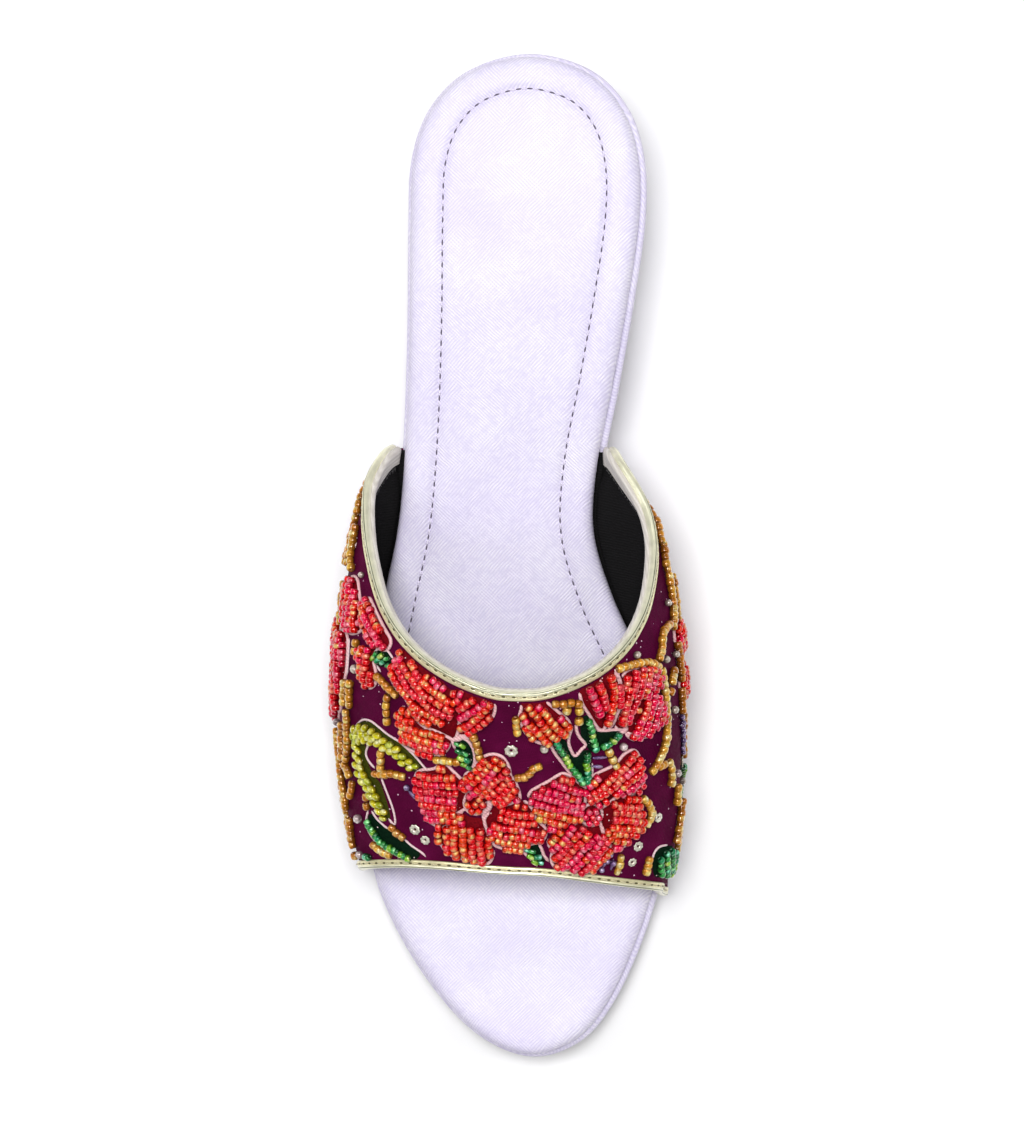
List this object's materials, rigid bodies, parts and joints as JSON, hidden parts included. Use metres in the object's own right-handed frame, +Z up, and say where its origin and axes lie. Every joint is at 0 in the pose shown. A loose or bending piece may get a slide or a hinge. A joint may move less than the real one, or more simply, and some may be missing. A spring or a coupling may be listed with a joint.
{
  "type": "beaded wedge sandal",
  "caption": "Women's right slide sandal: low covered wedge, padded footbed, wide open-toe vamp band with bound edges.",
  "frame": {"origin": "on the floor plane, under the middle of the shoe's bounding box", "axes": "+X to the medial side, +Y to the heel (toe at -Y), +Z up"},
  "size_m": [0.0846, 0.2495, 0.066],
  "materials": {
    "outsole_rubber": "matte moulded rubber with a fine cross-hatched tread",
    "lilac_cover": "pale lilac synthetic leather with a fine diagonal grain, satin",
    "plum_cloth": "dark plum velvet-satin with small glitter points, worked with glass beads",
    "gold_binding": "champagne-gold metallic leather strip, stitched"
  },
  "bodies": {
    "root": {"outsole": "outsole_rubber", "wedge": "lilac_cover", "footbed": "lilac_cover", "upper": "plum_cloth", "throat_binding": "gold_binding", "toe_binding": "gold_binding"}
  },
  "joints": []
}
